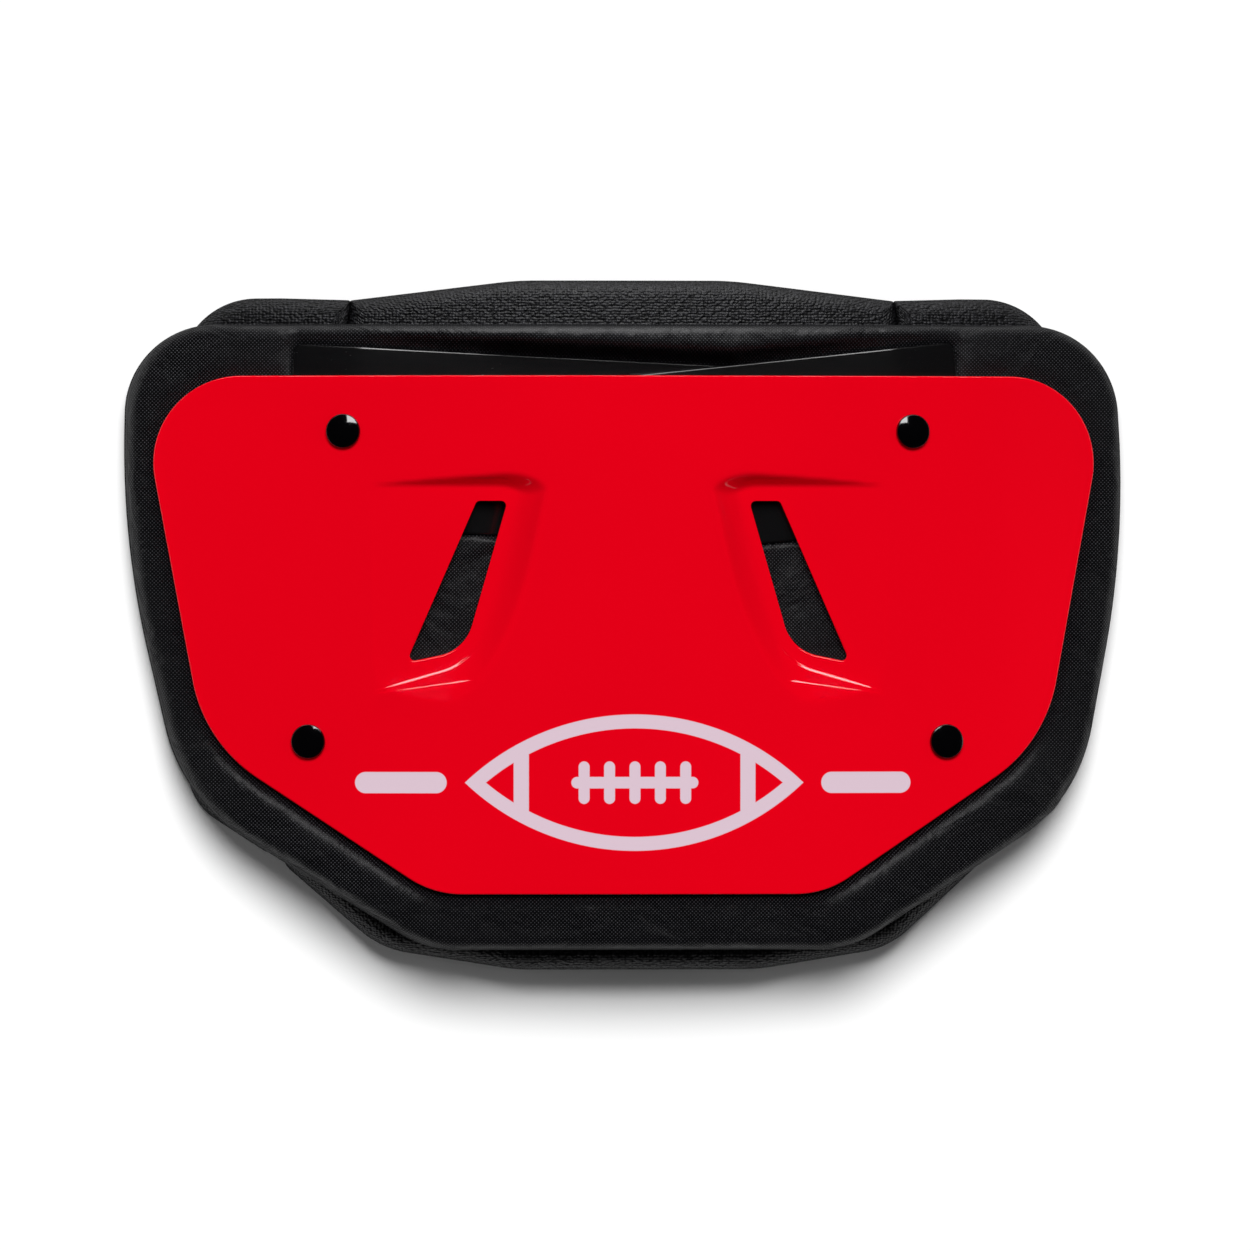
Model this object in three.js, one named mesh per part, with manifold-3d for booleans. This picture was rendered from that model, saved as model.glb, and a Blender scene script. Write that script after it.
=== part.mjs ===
// Football back plate: a bent plastic shell riveted over a foam pad, with two flat attachment
// straps folded between them and three mesh covered cushions against the wearer's back.
// Millimetres. It lies on its cushions: +Z away from the back, +Y to the shoulders.

import * as THREE from "three";
import { mergeVertices } from "three/addons/utils/BufferGeometryUtils.js";
import Module from "manifold-3d";

const wasm = await Module();
wasm.setup();

// Driving dimensions
const clearance = 0.3; // between pieces that touch
const bendRadius = 480; // of the whole plate, about an axis along Y
const facetWidth = 11; // one flat of a bent surface
const arcStep = 11; // degrees of one flat of a rounded outline

const shellWidth = 310.8;
const shellHeight = 171.3;
const shellThickness = 3;

const padSideMargin = 9.6; // pad beyond the shell's widest line
const padTopMargin = 16.9; // pad beyond the shell's top edge
const padBottomMargin = 18.3;
const padThickness = 14;
const padEdgeRound = 6.5;

const cushionThickness = 13;
const cushionEdgeRound = 5;
const cushionTopReach = 14.9; // centre cushion beyond the pad's top edge
const cushionBottomReach = 7;
const cushionCrown = 7.6; // rise of the centre cushion's top edge to its middle
const sideCushionTopReach = 8.1;
const sideCushionInset = 18.5; // outer edge of a side cushion inside the pad's side
const sideCushionHipRise = 55.7; // above the bottom of the centre cushion
const grooveTopSpread = 180.6; // between the two grooves at the top
const grooveBottomSpread = 232;
const grooveFootRise = 35; // above the bottom of the centre cushion
const grooveGap = 1.6;
const soleWidth = 20.5; // flattened strip along the outer edge of a side cushion

const rivetHeadDiameter = 11.4;
const rivetHeadHeight = 3.4;
const rivetShankDiameter = 5;
const rivetFlangeDiameter = 11;
const rivetFlangeThickness = 1.2;
const topRivetMargin = 8.2; // outside the scoop beside it
const topRivetDrop = 18.4; // below the shell's top edge
const bottomRivetInset = 49.8; // inside the shell's widest line
const bottomRivetRise = 50.4; // above the shell's bottom edge

const strapLength = 147;
const strapWidth = 61.5;
const strapThickness = 1.6;
const strapCornerRadius = 3;
const strapEndMargin = 17.5; // strap beyond its rivet
const strapDrop = 2; // strap's middle line below its rivet
const strapPocketMargin = 1;
const leftStrapTurn = -4; // degrees in the plane of the pad
const rightStrapTurn = 5.9;
const crossingRamp = 10; // where the left strap dips under the right one

const scoopDepth = 5;
const scoopOuterX = 86; // where the scoop's floor runs out flush
const scoopInnerTopX = 37.6; // foot of the inner wall
const scoopInnerBottomX = 48.5;
const scoopDrop = 37.5; // foot of the top wall below the shell's top edge
const scoopLength = 59.5;
const scoopWall = 6.5; // width of a sloped wall at full depth
const scoopCornerRadius = 4;

const ventTopX = 45.1; // middle of the vent at its top
const ventBottomX = 63.8;
const ventTopWidth = 10.2;
const ventBottomWidth = 19.4;
const ventDrop = 41.4; // top of the vent below the shell's top edge
const ventLength = 49.3;
const ventSlant = 4; // how much lower the vent's outer corner lies
const ventCornerRadius = 1.6;
const ventFootRadius = 9;

// Places that follow from them
const topY = (shellHeight + padTopMargin + padBottomMargin + cushionTopReach + cushionBottomReach) / 2;
const padTop = topY - cushionTopReach;
const padBottom = cushionBottomReach - topY;
const shellTop = padTop - padTopMargin;
const shellBottom = shellTop - shellHeight;
const padWidth = shellWidth + 2 * padSideMargin;
const sideCushionX = padWidth / 2 - sideCushionInset;
const topRivetX = scoopOuterX + topRivetMargin;
const bottomRivetX = shellWidth / 2 - bottomRivetInset;
const sag = (x) => bendRadius - Math.sqrt(bendRadius ** 2 - x ** 2);
const cushionFloor = sag(sideCushionX - soleWidth);
const padFloor = cushionFloor + cushionThickness + clearance;
const seat = padFloor + padThickness;
const shellUnder = seat + clearance;
const shellFace = shellUnder + shellThickness;
const strapFace = shellUnder - clearance;
const cutOver = 30; // how far a cutting body reaches past what it cuts

const finishes = {
  shell: { color: 0xe4001a, roughness: 0.35, metalness: 0 },
  strap: { color: 0x0c0c0e, roughness: 0.4, metalness: 0 },
  rivet: { color: 0x060607, roughness: 0.15, metalness: 0 },
  woven: { color: 0x1c1c1e, roughness: 0.85, metalness: 0 },
  mesh: { color: 0x151517, roughness: 0.95, metalness: 0 },
};

const plate = new THREE.Group();

function addPiece(name, geometry, finish) {
  const piece = new THREE.Mesh(geometry, new THREE.MeshStandardMaterial(finishes[finish]));
  piece.name = name;
  plate.add(piece);
  return piece;
}

// Solids to cut and join, and back to geometry
function toSolid(geometry) {
  const bare = new THREE.BufferGeometry();
  bare.setAttribute("position", geometry.getAttribute("position"));
  bare.setIndex(geometry.index);
  const merged = mergeVertices(bare, 1e-3);
  return new wasm.Manifold(
    new wasm.Mesh({
      numProp: 3,
      vertProperties: new Float32Array(merged.attributes.position.array),
      triVerts: new Uint32Array(merged.index.array),
    }),
  );
}

function toGeometry(solid) {
  const { vertProperties, triVerts } = solid.getMesh();
  const geometry = new THREE.BufferGeometry();
  geometry.setAttribute("position", new THREE.BufferAttribute(vertProperties, 3));
  geometry.setIndex(new THREE.BufferAttribute(triVerts, 1));
  geometry.computeVertexNormals();
  return geometry;
}

// Outlines run clockwise seen from above. Each point carries its outward normal, and a corner is
// rounded no further than its two sides have room for.
function roundedOutline(corners) {
  const sharp = corners.map((corner, i) => {
    const here = new THREE.Vector2(corner.x, corner.y);
    const before = corners.at(i - 1);
    const after = corners[(i + 1) % corners.length];
    const toBefore = new THREE.Vector2(before.x, before.y).sub(here);
    const toAfter = new THREE.Vector2(after.x, after.y).sub(here);
    const side = toAfter.length();
    const inward = toBefore.normalize().add(toAfter.normalize());
    const half = Math.acos(inward.length() / 2);
    return { here, side, inward: inward.normalize(), half, r: corner.r, run: corner.r / Math.tan(half) };
  });
  const room = sharp.map(({ side, run }, i) => side / (run + sharp[(i + 1) % sharp.length].run));
  return sharp.flatMap(({ here, inward, half, r }, i) => {
    const radius = r * Math.min(1, room.at(i - 1), room[i]);
    const centre = here.clone().addScaledVector(inward, radius / Math.sin(half));
    const turn = Math.PI - 2 * half;
    const steps = Math.max(2, Math.round(THREE.MathUtils.radToDeg(turn) / arcStep));
    const middle = Math.atan2(-inward.y, -inward.x);
    return Array.from({ length: steps + 1 }, (_, k) => {
      const angle = middle + turn * (0.5 - k / steps);
      const normal = new THREE.Vector2(Math.cos(angle), Math.sin(angle));
      return { point: centre.clone().addScaledVector(normal, radius), normal };
    });
  });
}

// Long straight runs get a point on every flat, so that they can follow the bend.
function divided(outline) {
  return outline.flatMap((here, i) => {
    const next = outline[(i + 1) % outline.length];
    const steps = Math.max(1, Math.ceil(Math.abs(next.point.x - here.point.x) / facetWidth));
    return Array.from({ length: steps }, (_, k) => ({
      point: here.point.clone().lerp(next.point, k / steps),
      normal: here.normal.clone().lerp(next.normal, k / steps).normalize(),
    }));
  });
}

function grown(outline, amount) {
  return outline.map(({ point, normal }) => point.clone().addScaledVector(normal, amount));
}

function flipped(corners) {
  return corners.map((corner) => ({ ...corner, x: -corner.x })).reverse();
}

function placeCorners(table, halfWidth, top, bottom) {
  return table.map(({ across, up, round }) => ({
    x: across * halfWidth,
    y: bottom + up * (top - bottom),
    r: round * halfWidth,
  }));
}

function symmetricOutline(halfCorners) {
  return roundedOutline([...halfCorners, ...flipped(halfCorners)]);
}

// A closed body through rings of equal count, from low to high, each clockwise seen from above.
function loft(rings) {
  const count = rings[0].length;
  const index = [];
  for (let i = 0; i < (rings.length - 1) * count; i++) {
    const next = i % count === count - 1 ? i + 1 - count : i + 1;
    index.push(i, i + count, next, next, i + count, next + count);
  }
  const flat = (ring) => ring.map(({ x, y }) => new THREE.Vector2(x, y));
  const lid = (ring) => THREE.ShapeUtils.triangulateShape(flat(ring), []);
  const last = (rings.length - 1) * count;
  lid(rings[0]).forEach(([a, b, c]) => index.push(a, c, b));
  lid(rings.at(-1)).forEach(([a, b, c]) => index.push(last + a, last + b, last + c));
  const places = rings.flat().flatMap((p) => p.toArray());
  const geometry = new THREE.BufferGeometry();
  geometry.setAttribute("position", new THREE.Float32BufferAttribute(places, 3));
  geometry.setIndex(index);
  return toSolid(geometry);
}

function prism(points, low, high) {
  const shape = new THREE.Shape([...points].reverse());
  const geometry = new THREE.ExtrudeGeometry(shape, { depth: high - low, bevelEnabled: false });
  geometry.translate(0, 0, low);
  return toSolid(geometry);
}

// A sheet between two levels, each a row of places across the plate, pushed along Y.
function sheet(under, face) {
  const shape = new THREE.Shape([...under, ...[...face].reverse()]);
  const depth = 2 * topY + 2 * cutOver;
  const geometry = new THREE.ExtrudeGeometry(shape, { depth, bevelEnabled: false });
  geometry.rotateX(Math.PI / 2);
  geometry.translate(0, depth / 2, 0);
  return toSolid(geometry);
}

function bentLevel(height) {
  const flats = Math.ceil((padWidth / 2 + cutOver) / facetWidth);
  const places = Array.from({ length: 2 * flats + 1 }, (_, i) => (i - flats) * facetWidth);
  return places.map((x) => new THREE.Vector2(x, height - sag(x)));
}

const lowered = (level, fall) => level.map((p) => new THREE.Vector2(p.x, p.y - fall));

// Pads and cushions: a rounded side wall cut to a bent sheet. Inset is a share of the edge's
// rounding, rise a share of the thickness.
const edgeSections = [
  { name: "below", inset: 0.85, rise: -0.3 },
  { name: "floor", inset: 0.85, rise: 0 },
  { name: "lower", inset: 0.25, rise: 0.14 },
  { name: "middle", inset: 0, rise: 0.36 },
  { name: "upper", inset: 0.14, rise: 0.62 },
  { name: "crown", inset: 0.5, rise: 0.87 },
  { name: "ceiling", inset: 1, rise: 1 },
  { name: "above", inset: 1, rise: 1.3 },
];

function cushionBody(outline, floor, thickness, edgeRound) {
  const rings = edgeSections.map(({ inset, rise }) =>
    grown(divided(outline), -inset * edgeRound).map(
      (p) => new THREE.Vector3(p.x, p.y, floor + rise * thickness - sag(p.x)),
    ),
  );
  return loft(rings).intersect(sheet(bentLevel(floor), bentLevel(floor + thickness)));
}

// Rivets stand square to the bent shell
const topRivetY = shellTop - topRivetDrop;
const bottomRivetY = shellBottom + bottomRivetRise;
const rivetPlaces = [
  { name: "rivet_top_left", x: -topRivetX, y: topRivetY, holdsStrap: true },
  { name: "rivet_top_right", x: topRivetX, y: topRivetY, holdsStrap: true },
  { name: "rivet_bottom_left", x: -bottomRivetX, y: bottomRivetY, holdsStrap: false },
  { name: "rivet_bottom_right", x: bottomRivetX, y: bottomRivetY, holdsStrap: false },
];
const rivetSides = 16;

function gripOf({ holdsStrap }) {
  return shellThickness + clearance + (holdsStrap ? strapThickness + clearance : 0);
}

function standSquare(object, { x, y }) {
  object.position.set(x, y, shellFace - sag(x));
  object.rotation.y = Math.asin(x / bendRadius);
  object.updateMatrix();
}

function turned(profile) {
  const geometry = new THREE.LatheGeometry(profile, rivetSides);
  geometry.rotateX(Math.PI / 2);
  return geometry;
}

function rivetGeometry(place) {
  const grip = gripOf(place);
  const headRadius = rivetHeadDiameter / 2;
  const domeRadius = (headRadius ** 2 + rivetHeadHeight ** 2) / (2 * rivetHeadHeight);
  const domeSweep = Math.asin(headRadius / domeRadius);
  const domeSteps = 4;
  const dome = Array.from({ length: domeSteps }, (_, i) => {
    const angle = domeSweep * (1 - i / domeSteps);
    const rise = domeRadius * (Math.cos(angle) - Math.cos(domeSweep));
    return new THREE.Vector2(domeRadius * Math.sin(angle), clearance + rise);
  });
  return turned([
    new THREE.Vector2(0, -grip - rivetFlangeThickness),
    new THREE.Vector2(rivetFlangeDiameter / 2, -grip - rivetFlangeThickness),
    new THREE.Vector2(rivetFlangeDiameter / 2, -grip),
    new THREE.Vector2(rivetShankDiameter / 2, -grip),
    new THREE.Vector2(rivetShankDiameter / 2, clearance),
    ...dome,
    new THREE.Vector2(0, clearance + rivetHeadHeight),
  ]);
}

// A round cutter on a rivet's own axis
function rivetCutter(place, diameter, depth) {
  const drill = new THREE.Object3D();
  standSquare(drill, place);
  const geometry = turned([
    new THREE.Vector2(0, -depth),
    new THREE.Vector2(diameter / 2, -depth),
    new THREE.Vector2(diameter / 2, cutOver),
    new THREE.Vector2(0, cutOver),
  ]);
  return toSolid(geometry.applyMatrix4(drill.matrix));
}

const shankCutter = (place) => rivetCutter(place, rivetShankDiameter + 2 * clearance, cutOver);

function flangeCutter(place) {
  const depth = gripOf(place) + rivetFlangeThickness + clearance;
  return rivetCutter(place, rivetFlangeDiameter + 4 * clearance, depth);
}

// A scoop is pressed into the shell beside each vent. Its flat floor starts flush at the outer side
// and is deepest at the foot of the inner wall.
const scoopCorners = [
  { x: scoopInnerTopX, y: shellTop - scoopDrop, r: scoopCornerRadius },
  { x: scoopOuterX, y: shellTop - scoopDrop, r: clearance },
  { x: scoopOuterX, y: shellTop - scoopDrop - scoopLength, r: clearance },
  { x: scoopInnerBottomX, y: shellTop - scoopDrop - scoopLength, r: scoopCornerRadius },
];

function scoopShare(x) {
  return THREE.MathUtils.clamp((scoopOuterX - Math.abs(x)) / (scoopOuterX - scoopInnerTopX), 0, 1);
}

function scoopFloor(x) {
  const outer = shellFace - sag(scoopOuterX);
  const inner = shellFace - sag(scoopInnerTopX) - scoopDepth;
  return THREE.MathUtils.lerp(outer, inner, scoopShare(x));
}

// The hollow of the scoop, the skin of shell round it, and the room that this skin needs in the pad
const scoopHollow = { growth: 0, fall: 0, crestRise: 0, reach: cutOver };
const scoopSkin = {
  growth: shellThickness / 2,
  fall: shellThickness,
  crestRise: -shellThickness / 2,
  reach: clearance,
};
const scoopRoom = {
  growth: scoopSkin.growth + 2 * clearance,
  fall: scoopSkin.fall + clearance,
  crestRise: scoopSkin.crestRise - clearance,
  reach: cutOver,
};

function scoopBody(side, { growth, fall, crestRise, reach }) {
  const foot = divided(roundedOutline(side > 0 ? scoopCorners : flipped(scoopCorners)));
  const floor = grown(foot, growth).map((p) => new THREE.Vector3(p.x, p.y, scoopFloor(p.x) - fall));
  const crest = foot.map(({ point, normal }) => {
    const p = point.clone().addScaledVector(normal, growth + scoopWall * scoopShare(point.x));
    return new THREE.Vector3(p.x, p.y, shellFace - sag(p.x) + crestRise);
  });
  const over = crest.map((p) => new THREE.Vector3(p.x, p.y, p.z + reach));
  return loft([floor, crest, over]);
}

const ventTop = shellTop - ventDrop;
const ventBottom = ventTop - ventLength;
const ventCorners = [
  { x: ventTopX - ventTopWidth / 2, y: ventTop, r: ventCornerRadius },
  { x: ventTopX + ventTopWidth / 2, y: ventTop, r: ventCornerRadius },
  { x: ventBottomX + ventBottomWidth / 2, y: ventBottom - ventSlant, r: ventCornerRadius },
  { x: ventBottomX - ventBottomWidth / 2, y: ventBottom, r: ventFootRadius },
];

const shellCorners = [
  { name: "shoulder", across: 1.04, up: 1, round: 0.184 },
  { name: "hip", across: 0.896, up: 0.291, round: 0.317 },
  { name: "foot", across: 0.416, up: 0, round: 0.204 },
];

function makeShell() {
  const outline = symmetricOutline(placeCorners(shellCorners, shellWidth / 2, shellTop, shellBottom));
  const low = shellUnder - sag(padWidth / 2) - cutOver;
  const sides = [-1, 1];
  let shell = sheet(bentLevel(shellUnder), bentLevel(shellFace));
  shell = shell.intersect(prism(grown(outline, 0), low, shellFace + cutOver));
  for (const side of sides) {
    const vent = roundedOutline(side > 0 ? ventCorners : flipped(ventCorners));
    shell = shell.add(scoopBody(side, scoopSkin));
    shell = shell.subtract(scoopBody(side, scoopHollow));
    shell = shell.subtract(prism(grown(vent, 0), low, shellFace + cutOver));
  }
  for (const place of rivetPlaces) shell = shell.subtract(shankCutter(place));
  return shell;
}

// Straps lie flat under the shell, pass straight below the scoops and cross in the middle
const strapEnd = topRivetX + strapEndMargin - strapLength;
const rightStrapSwing = (strapWidth / 2) * Math.sin(THREE.MathUtils.degToRad(rightStrapTurn));
const dipEnd = strapEnd - rightStrapSwing - strapPocketMargin;
const dipStart = dipEnd - crossingRamp;
const dipFall = strapThickness + 2 * clearance;
const straps = [
  { name: "strap_left", side: -1, turn: leftStrapTurn, dips: true },
  { name: "strap_right", side: 1, turn: rightStrapTurn, dips: false },
];

function strapHeight(x, dips) {
  const out = scoopOuterX + facetWidth / 4;
  const share = THREE.MathUtils.clamp((out - Math.abs(x)) / (out - scoopInnerTopX), 0, 1);
  const outer = strapFace - sag(out);
  const inner = strapFace - sag(scoopInnerTopX) - scoopDepth;
  const dip = dips ? dipFall * THREE.MathUtils.clamp((x - dipStart) / (dipEnd - dipStart), 0, 1) : 0;
  if (share === 0) return strapFace - sag(x) - dip;
  if (share === 1) return strapFace - sag(x) - scoopDepth - dip;
  return THREE.MathUtils.lerp(outer, inner, share) - dip;
}

function strapLevel({ dips }) {
  const out = scoopOuterX + facetWidth / 4;
  const bends = [-out, -scoopInnerTopX, scoopInnerTopX, out, ...(dips ? [dipStart, dipEnd] : [])];
  const flats = bentLevel(0).map((p) => p.x);
  const apart = flats.filter((x) => bends.every((bend) => Math.abs(x - bend) > facetWidth / 4));
  return [...apart, ...bends].sort((a, b) => a - b).map((x) => new THREE.Vector2(x, strapHeight(x, dips)));
}

function strapPrism({ side, turn }, margin) {
  const x = strapLength / 2 + margin;
  const y = strapWidth / 2 + margin;
  const r = strapCornerRadius + margin;
  const centre = new THREE.Vector2(side * (strapEndMargin - strapLength / 2), -strapDrop);
  const corners = [
    { x: -x, y, r },
    { x, y, r },
    { x, y: -y, r },
    { x: -x, y: -y, r },
  ];
  const rivet = new THREE.Vector2(side * topRivetX, topRivetY);
  const pivot = new THREE.Vector2();
  const angle = THREE.MathUtils.degToRad(turn);
  const place = (p) => p.add(centre).rotateAround(pivot, angle).add(rivet);
  return prism(grown(roundedOutline(corners), 0).map(place), -cutOver, shellFace + cutOver);
}

function makeStrap(strap) {
  const face = strapLevel(strap);
  const place = rivetPlaces.find(({ x, holdsStrap }) => holdsStrap && Math.sign(x) === strap.side);
  const bent = sheet(lowered(face, strapThickness), face);
  return bent.intersect(strapPrism(strap, 0)).subtract(shankCutter(place));
}

function strapPocket(strap) {
  const under = lowered(strapLevel(strap), strapThickness + clearance);
  return sheet(under, bentLevel(seat + cutOver)).intersect(strapPrism(strap, strapPocketMargin));
}

const padCorners = [
  { name: "shoulder", across: 0.99, up: 1, round: 0.18 },
  { name: "waist", across: 1.008, up: 0.655, round: 1.806 },
  { name: "hip", across: 0.9, up: 0.24, round: 0.343 },
  { name: "foot", across: 0.423, up: 0, round: 0.209 },
];

function makePad() {
  const outline = symmetricOutline(placeCorners(padCorners, padWidth / 2, padTop, padBottom));
  let pad = cushionBody(outline, padFloor, padThickness, padEdgeRound);
  for (const strap of straps) pad = pad.subtract(strapPocket(strap));
  for (const side of [-1, 1]) pad = pad.subtract(scoopBody(side, scoopRoom));
  for (const place of rivetPlaces) pad = pad.subtract(flangeCutter(place));
  return pad;
}

// The cushions against the back, parted by two slanting grooves
const shoulderRound = 7;
const outerShoulderRound = 22;
const hipRound = 5;
const outerHipRound = 20;
const centreEdge = [
  { name: "crown", across: 0.276, round: 1.3 },
  { name: "foot", across: 0.73, round: 0.26 },
  { name: "bottom", across: 0.345, round: 0.52 },
];

function centreCushionOutline() {
  const half = grooveBottomSpread / 2;
  const places = centreEdge.map(({ across, round }) => ({ x: across * half, r: round * half }));
  const [crown, foot, bottom] = places;
  return symmetricOutline([
    { ...crown, y: topY },
    { x: (grooveTopSpread - grooveGap) / 2, y: topY - cushionCrown, r: shoulderRound },
    { x: (grooveBottomSpread - grooveGap) / 2, y: grooveFootRise - topY, r: hipRound },
    { ...foot, y: cushionBottomReach - topY },
    { ...bottom, y: -topY },
  ]);
}

function sideCushionOutline(side) {
  const top = padTop + sideCushionTopReach;
  const corners = [
    { x: (grooveTopSpread + grooveGap) / 2, y: top, r: shoulderRound },
    { x: sideCushionX, y: top, r: outerShoulderRound },
    { x: sideCushionX, y: sideCushionHipRise - topY, r: outerHipRound },
    { x: (grooveBottomSpread + grooveGap) / 2, y: grooveFootRise - topY, r: hipRound },
  ];
  return roundedOutline(side > 0 ? corners : flipped(corners));
}

function makeCushion(outline) {
  const body = cushionBody(outline, cushionFloor, cushionThickness, cushionEdgeRound);
  const ground = new THREE.BoxGeometry(padWidth + cutOver, 2 * topY + cutOver, cutOver);
  ground.translate(0, 0, -cutOver / 2);
  return body.subtract(toSolid(ground));
}

addPiece("back_cushion_left", toGeometry(makeCushion(sideCushionOutline(-1))), "mesh");
addPiece("back_cushion_centre", toGeometry(makeCushion(centreCushionOutline())), "mesh");
addPiece("back_cushion_right", toGeometry(makeCushion(sideCushionOutline(1))), "mesh");
addPiece("front_pad", toGeometry(makePad()), "woven");
for (const strap of straps) addPiece(strap.name, toGeometry(makeStrap(strap)), "strap");
addPiece("shell", toGeometry(makeShell()), "shell");
for (const place of rivetPlaces) standSquare(addPiece(place.name, rivetGeometry(place), "rivet"), place);

export default plate;
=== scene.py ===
import math

import bmesh
import bpy
import numpy as np
from mathutils import Matrix, Vector, kdtree
from mathutils.geometry import delaunay_2d_cdt


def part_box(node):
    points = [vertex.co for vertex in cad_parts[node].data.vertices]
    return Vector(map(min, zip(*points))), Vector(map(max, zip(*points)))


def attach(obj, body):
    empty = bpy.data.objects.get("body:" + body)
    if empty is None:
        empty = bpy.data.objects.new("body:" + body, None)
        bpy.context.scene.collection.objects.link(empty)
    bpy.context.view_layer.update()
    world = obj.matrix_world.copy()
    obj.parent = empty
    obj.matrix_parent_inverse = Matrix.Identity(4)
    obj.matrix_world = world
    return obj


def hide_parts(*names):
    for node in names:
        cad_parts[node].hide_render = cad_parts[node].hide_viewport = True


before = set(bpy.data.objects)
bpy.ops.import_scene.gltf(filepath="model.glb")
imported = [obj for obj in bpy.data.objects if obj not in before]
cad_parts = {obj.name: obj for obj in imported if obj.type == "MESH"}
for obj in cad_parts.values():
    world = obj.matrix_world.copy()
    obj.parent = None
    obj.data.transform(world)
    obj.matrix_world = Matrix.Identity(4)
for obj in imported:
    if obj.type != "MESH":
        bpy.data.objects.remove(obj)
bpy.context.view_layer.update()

# Football back plate seen from above, lying on its cushions: red shell, woven front pad,
# two flat straps between them and three mesh cushions underneath. Metres, +Y to the shoulders.
mm = 0.001
bendRadius = 480 * mm      # the whole plate is bent about an axis along Y
touchGap = 0.3 * mm        # between pieces that touch
padLean = 0.020            # the pad and cushions sit a little askew under the shell
padShift = 1.8 * mm        # and a little to the right of it

shellLow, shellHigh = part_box("shell")
padLow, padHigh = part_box("front_pad")
cushionLow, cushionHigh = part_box("back_cushion_centre")
shellFace = shellHigh.z
seat = padHigh.z


def sag(x):
    return bendRadius - np.sqrt(bendRadius ** 2 - np.square(x))


# Outlines

def cornerArcs(corners, inset, step):
    # one arc for each corner (x, y, radius), counter-clockwise, as (point, outward normal) pairs
    arcs = []
    for i, (x, y, radius) in enumerate(corners):
        here = Vector((x, y))
        before = (Vector(corners[i - 1][:2]) - here).normalized()
        after = (Vector(corners[(i + 1) % len(corners)][:2]) - here).normalized()
        inward = (before + after).normalized()
        half = before.angle(after) / 2
        turn = math.pi - 2 * half
        left = max(radius - inset, 0.1 * mm)
        centre = here + inward * (inset + left) / math.sin(half)
        middle = math.atan2(-inward.y, -inward.x)
        steps = max(4, round(turn * radius / step))
        angles = [middle + turn * (k / steps - 0.5) for k in range(steps + 1)]
        normals = [Vector((math.cos(angle), math.sin(angle))) for angle in angles]
        arcs += [(centre + normal * left, normal) for normal in normals]
    return arcs


def outlineRing(outline, inset=0.0):
    # the outline drawn in by an inset, always with the same count of points
    corners, step, isHole = outline["corners"], outline["step"], outline["isHole"]
    plain = cornerArcs(corners, 0.0, step)
    arcs = cornerArcs(corners, -inset if isHole else inset, step)
    points, normals = [], []
    for i, (p, n) in enumerate(arcs):
        j = (i + 1) % len(arcs)
        q, m = arcs[j]
        parts = max(1, math.ceil((plain[j][0] - plain[i][0]).length / step))
        for k in range(parts):
            points.append(tuple(p.lerp(q, k / parts)))
            normals.append(tuple(n.lerp(m, k / parts).normalized()))
    points, normals = np.array(points), np.array(normals)
    points[:, 0] += outline["shift"] - outline["lean"] * points[:, 1]
    return points, -normals if isHole else normals


def makeOutline(corners, step, sections, isHole=False):
    return dict(corners=corners, step=step, sections=sections, lean=0.0, shift=0.0, isHole=isHole)


def inMillimetres(sections):
    return [(inset * mm, share) for inset, share in sections]


def askew(outline):
    return dict(outline, lean=padLean, shift=padShift)


def mirrored(halfCorners):
    # the right half from bottom to top, then the left half from top to bottom
    return halfCorners + [(-x, y, radius) for x, y, radius in reversed(halfCorners)]


def flipped(corners):
    return [(-x, y, radius) for x, y, radius in reversed(corners)]


def insideLoop(points, loop):
    inside = np.zeros(len(points), bool)
    for (ax, ay), (bx, by) in zip(loop, np.roll(loop, -1, axis=0)):
        if ay == by:
            continue
        crosses = (points[:, 1] > ay) != (points[:, 1] > by)
        across = ax + (points[:, 1] - ay) * (bx - ax) / (by - ay)
        inside ^= crosses & (points[:, 0] < across)
    return inside


def placeTree(places):
    # flat places lie at height 0
    tree = kdtree.KDTree(len(places))
    for i, place in enumerate(places):
        tree.insert((*place, 0)[:3], i)
    tree.balance()
    return tree


def loopDistance(points, loop):
    tree = placeTree(loop)
    return np.array([tree.find((x, y, 0))[2] for x, y in points])


def outlineDistance(points, outline):
    # signed: positive outside the outline
    loop = outlineRing(outline)[0]
    away = loopDistance(points, loop)
    return np.where(insideLoop(points, loop), -away, away)


def outlineReach(points, outline):
    # signed distance outside an outline, and the way its nearest stretch faces
    loop, normals = outlineRing(outline)
    tree = placeTree(loop)
    found = [tree.find((x, y, 0)) for x, y in points]
    nearest = np.array([f[1] for f in found])
    away = np.array([f[2] for f in found])
    way = np.arctan2(normals[nearest, 1], normals[nearest, 0])
    return np.where(insideLoop(points, loop), -away, away), way


# A bent slab: two faces of fine triangles, and rounded side walls through the sections

def gridPoints(low, high, spacing):
    # a grid of near enough equal triangles
    rows = np.arange(low[1], high[1], spacing * 0.866)
    points = []
    for i, y in enumerate(rows):
        xs = np.arange(low[0] + (i % 2) * spacing / 2, high[0], spacing)
        points.append(np.column_stack([xs, np.full(len(xs), y)]))
    return np.concatenate(points)


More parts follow.
